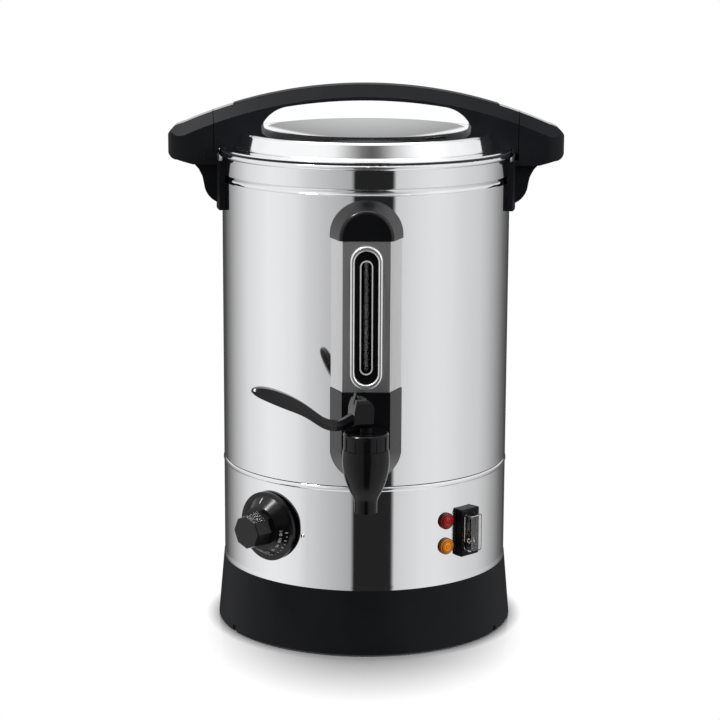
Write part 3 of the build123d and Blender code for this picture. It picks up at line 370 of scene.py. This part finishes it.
def letters(text, size):
    """Mesh of flat letters round the origin, facing +Z."""
    curve = bpy.data.curves.new("letters", "FONT")
    curve.body = text
    curve.size = size
    curve.align_x = "CENTER"
    curve.align_y = "CENTER"
    curve.resolution_u = 3
    curve.extrude = 0.00001
    item = bpy.data.objects.new("letters", curve)
    mesh = bpy.data.meshes.new_from_object(item)
    bpy.data.objects.remove(item)
    return mesh


def bar(width, height):
    """Mesh of a thin bar round the origin, facing +Z."""
    form = bmesh.new()
    bmesh.ops.create_cube(form, size=1.0, matrix=Matrix.Diagonal((width, height, 0.00002, 1)))
    mesh = bpy.data.meshes.new("bar")
    form.to_mesh(mesh)
    form.free()
    return mesh


def placed(origin, along, normal):
    """Matrix that puts local X along one direction and local Z along a normal."""
    z = Vector(normal).normalized()
    y = z.cross(Vector(along)).normalized()
    x = y.cross(z)
    return Matrix.Translation(origin) @ Matrix((x, y, z)).transposed().to_4x4()


def printed(name, shapes, material, body):
    """One object from (mesh, matrix) pairs, printed on a body."""
    form = bmesh.new()
    for mesh, matrix in shapes:
        copy = mesh.copy()
        copy.transform(matrix)
        form.from_mesh(copy)
    joined = bpy.data.meshes.new(name)
    form.to_mesh(joined)
    form.free()
    joined.materials.append(material)
    item = bpy.data.objects.new(name, joined)
    scene.collection.objects.link(item)
    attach(item, body)


# Numbers on the dial's conical skirt, which narrows from its rim to the grip
dial_out = out_at(dial_angle)
dial_right = out_at(dial_angle + 90)
dial_gap = 0.9 * MM
dial_centre = dial_out * (shell_radius + dial_gap) + Vector((0, 0, dial_height))
skirt_rim = (23.0 * MM, 2.6 * MM)
skirt_top = (16.4 * MM, 10.6 * MM)


def on_skirt(clock, share, lift=0.04 * MM):
    """Matrix on the skirt at a clock angle and a share of the way from its rim to its top, letter tops outwards."""
    radial = dial_right * sin(radians(clock)) + Vector((0, 0, cos(radians(clock))))
    narrowing = skirt_rim[0] - skirt_top[0]
    rise = skirt_top[1] - skirt_rim[1]
    normal = (radial * rise + dial_out * narrowing).normalized()
    outwards = (radial * narrowing - dial_out * rise).normalized()
    radius = skirt_rim[0] - narrowing * share
    depth = skirt_rim[1] + rise * share
    place = dial_centre + radial * radius + dial_out * depth + normal * lift
    return placed(place, outwards.cross(normal), normal)


first_clock = 92
clock_step = 17.5
half_step = 8.7
first_number = 110
number_step = 10
dial_marks = [(bar(0.6 * MM, 5.2 * MM), on_skirt(-8, 0.42))]
for step in range(9):
    clock = first_clock + clock_step * step
    dial_marks.append((letters(str(first_number - number_step * step), 3.0 * MM), on_skirt(clock, 0.66)))
    dial_marks.append((bar(0.5 * MM, 1.9 * MM), on_skirt(clock, 0.22)))
    dial_marks.append((bar(0.4 * MM, 1.1 * MM), on_skirt(clock + half_step, 0.17)))
printed("dial_numbers", dial_marks, white_ink, "dial")

# Off and on signs on the lower half of the rocker
switch_out = out_at(switch_angle)
switch_right = out_at(switch_angle + 90)
rocker_rest = radians(-10)
rocker_up = switch_out * sin(rocker_rest) + Vector((0, 0, cos(rocker_rest)))
rocker_out = switch_right.cross(rocker_up)
pivot_gap = 1.52 * MM
rocker_pivot = switch_out * (shell_radius + pivot_gap) + Vector((0, 0, switch_height))
rocker_normal = rocker_up * 1.8 + rocker_out * 12
sign_place = rocker_pivot + rocker_up * -7.2 * MM + rocker_out * 3.64 * MM
switch_signs = [
    (letters(sign, 5.0 * MM), placed(sign_place + switch_right * across * MM, switch_right, rocker_normal))
    for sign, across in (("O", -2.4), ("I", 2.4))
]
printed("switch_signs", switch_signs, white_ink, "rocker")

# Scale bars behind the glass tube
gauge_middle = 0.2593
scale_back = -0.11234
scale_pitch = 5.9 * MM
bars_each_way = 6
scale_bars = [
    (bar(4.4 * MM, 3.9 * MM), placed((0, scale_back, gauge_middle + scale_pitch * step), (1, 0, 0), (0, -1, 0)))
    for step in range(-bars_each_way, bars_each_way + 1)
]
printed("gauge_scale", scale_bars, scale_ink, "boiler")


# Stage

def stage_mesh(name, vertices, faces, material):
    """Mesh object that belongs to the studio."""
    mesh = bpy.data.meshes.new(name)
    mesh.from_pydata(vertices, [], faces)
    mesh.materials.append(material)
    item = bpy.data.objects.new(name, mesh)
    scene.collection.objects.link(item)
    return item


# Floor: white to the camera except in a painted shadow. This is a patch stretched sideways and centred in front of
# the base, plus a ring round its foot, where the dark grey floor shows with its real lamp shading and reflection.
floor_material = bpy.data.materials.new("floor_white_painted_shadow")
tree, output = new_tree(floor_material)
surface = tree.nodes.new("ShaderNodeBsdfPrincipled")
# The floor's own dark grey, which shows only inside the painted shadow
surface.inputs["Base Color"].default_value = (*grey(0.22), 1)
surface.inputs["Roughness"].default_value = 0.08
surface.inputs["Specular IOR Level"].default_value = 0.5
glow = tree.nodes.new("ShaderNodeEmission")
mix = tree.nodes.new("ShaderNodeMixShader")
# Painted shadow patch in front of the base: white fades in from 0.07 to 0.165 m from its middle
shadow_middle = (0, -0.045, 0)
shadow_stretch = (1.35, 1, 1)
from_shadow = vector_node(tree, "SUBTRACT", object_coordinates(tree, shadow_stretch), shadow_middle)
distance = vector_node(tree, "LENGTH", from_shadow.outputs["Vector"]).outputs["Value"]
shadow_fade = spread(tree, distance, 0.0, 1.0, 0.07, 0.165)
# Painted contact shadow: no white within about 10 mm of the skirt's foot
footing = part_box("base_skirt")[1][0]
from_middle = vector_node(tree, "LENGTH", object_coordinates(tree)).outputs["Value"]
contact_shadow = spread(tree, from_middle, 0.0, 1.0, footing - 1 * MM, footing + 10 * MM)
whiteness = math_node(tree, "MULTIPLY", shadow_fade, contact_shadow)
tree.links.new(math_node(tree, "MULTIPLY", seen_directly(tree), whiteness), mix.inputs["Fac"])
tree.links.new(surface.outputs["BSDF"], mix.inputs[1])
tree.links.new(glow.outputs["Emission"], mix.inputs[2])
tree.links.new(mix.outputs["Shader"], output.inputs["Surface"])
floor_reach = 40.0
floor_corners = [
    (-floor_reach, -floor_reach, 0),
    (floor_reach, -floor_reach, 0),
    (floor_reach, floor_reach, 0),
    (-floor_reach, floor_reach, 0),
]
floor = stage_mesh("floor", floor_corners, [(0, 1, 2, 3)], floor_material)
floor.visible_glossy = False

# Light tent that the polished steel mirrors: pale all round, with a dark flag behind the camera and dim back
# corners low down, and white above. Levels are by bearing in degrees, and the back's by height in metres.
tent_radius = 1.3
tent_low, tent_high = -1.6, 1.9
tent_sides = 96
tent_material = bpy.data.materials.new("tent_cloth")
tree, output = new_tree(tent_material)
x, y, z = split_axes(tree, object_coordinates(tree))
bearing = math_node(tree, "ARCTAN2", x, math_node(tree, "MULTIPLY", y, -1.0))
around = math_node(tree, "ADD", math_node(tree, "DIVIDE", bearing, 2 * pi), 0.5)
low_levels = [
    (-180, 0.07), (-160, 0.06), (-148, 0.10), (-136, 0.28), (-123, 0.53), (-105, 0.84), (-80, 1.0),
    (-66, 0.97), (-54, 0.89), (-45, 0.76), (-30, 0.62), (-10.4, 0.47), (-8.8, 0.02), (20.6, 0.02),
    (22.0, 0.72), (36, 0.83), (46, 0.89), (56, 0.91), (68, 0.88), (80, 0.80), (100, 0.72), (112, 0.58),
    (126, 0.37), (140, 0.17), (155, 0.07), (180, 0.07),
]
high_levels = [
    (-180, 1.0), (-135, 0.9), (-110, 0.92), (-95, 1.0), (-40, 1.0), (-30, 0.93), (-20, 0.62), (-12, 0.38),
    (-4, 0.18), (5, 0.11), (12, 0.17), (20, 0.38), (28, 0.63), (38, 0.80), (50, 0.93), (62, 1.0), (95, 0.97),
    (113, 0.85), (135, 0.9), (180, 1.0),
]
back_levels = [(0.0, 1.0), (0.54, 1.0), (0.64, 0.35), (0.9, 0.45), (1.3, 0.62), (2.0, 0.7)]


def bearing_colour(levels):
    """Colour by the bearing round the object, from (degrees, level) pairs."""
    return ramp(tree, around, [(0.5 + degrees / 360, grey(level)) for degrees, level in levels])


def mixed(share, first, second):
    """Colour between two colours."""
    node = tree.nodes.new("ShaderNodeMix")
    node.data_type = "RGBA"
    tree.links.new(share, node.inputs["Factor"])
    tree.links.new(first, node.inputs["A"])
    tree.links.new(second, node.inputs["B"])
    return node.outputs["Result"]


back_top = 2.0
back_stops = [(height / back_top, grey(level)) for height, level in back_levels]
back_colour = ramp(tree, spread(tree, z, 0.0, 1.0, 0.0, back_top), back_stops)
high_colour = mixed(spread(tree, y, 0.0, 1.0, 0.7, 1.1), bearing_colour(high_levels), back_colour)
cloth_colour = mixed(spread(tree, z, 0.0, 1.0, 0.28, 0.36), bearing_colour(low_levels), high_colour)
glow = tree.nodes.new("ShaderNodeEmission")
tree.links.new(cloth_colour, glow.inputs["Color"])
tree.links.new(glow.outputs["Emission"], output.inputs["Surface"])
tent_ring = [2 * pi * side / tent_sides for side in range(tent_sides)]
tent_points = [
    (tent_radius * sin(turn), -tent_radius * cos(turn), height)
    for height in (tent_low, tent_high)
    for turn in tent_ring
]
tent_faces = [
    (side, (side + 1) % tent_sides, tent_sides + (side + 1) % tent_sides, tent_sides + side)
    for side in range(tent_sides)
]
tent = stage_mesh("light_tent", tent_points, tent_faces, tent_material)
tent.visible_camera = False
tent.visible_diffuse = False
tent.visible_shadow = False
tent.visible_transmission = False


def lamp(name, position, target, size, power):
    """Square soft lamp aimed at a point."""
    data = bpy.data.lights.new(name, "AREA")
    data.shape = "SQUARE"
    data.size = size
    data.energy = power
    item = bpy.data.objects.new(name, data)
    item.location = position
    item.rotation_euler = (Vector(target) - Vector(position)).to_track_quat("-Z", "Y").to_euler()
    scene.collection.objects.link(item)


aim = (0, 0, 0.2)
lamp("key_left", (-1.05, -0.45, 2.0), aim, 0.3, 34)
lamp("fill_right", (1.5, -0.9, 1.3), aim, 1.0, 34)
lamp("top_soft", (0, 0.3, 2.0), aim, 1.4, 14)

world = bpy.data.worlds.new("studio")
scene.world = world
tree, output = new_tree(world)
background = tree.nodes.new("ShaderNodeBackground")
background.inputs["Color"].default_value = (1, 1, 1, 1)
tree.links.new(math_node(tree, "MAXIMUM", seen_directly(tree), 0.8), background.inputs["Strength"])
tree.links.new(background.outputs["Background"], output.inputs["Surface"])

# Camera, fitted to the photograph
camera_data = bpy.data.cameras.new("photo_camera")
camera_data.lens = 110.0
camera_data.sensor_width = 36.0
camera_data.clip_end = 100.0
camera = bpy.data.objects.new("photo_camera", camera_data)
scene.collection.objects.link(camera)
round_object = Matrix.Rotation(radians(-0.35), 4, "Z")
stand = Matrix.Translation((0, -1.679, 0.5485))
yaw = Matrix.Rotation(radians(0.1354), 4, "Z")
look_down = 11.635
pitch = Matrix.Rotation(radians(90 - look_down), 4, "X")
roll = Matrix.Rotation(radians(0.25), 4, "Z")
camera.matrix_world = round_object @ stand @ yaw @ pitch @ roll
scene.camera = camera
scene.view_settings.view_transform = "Standard"
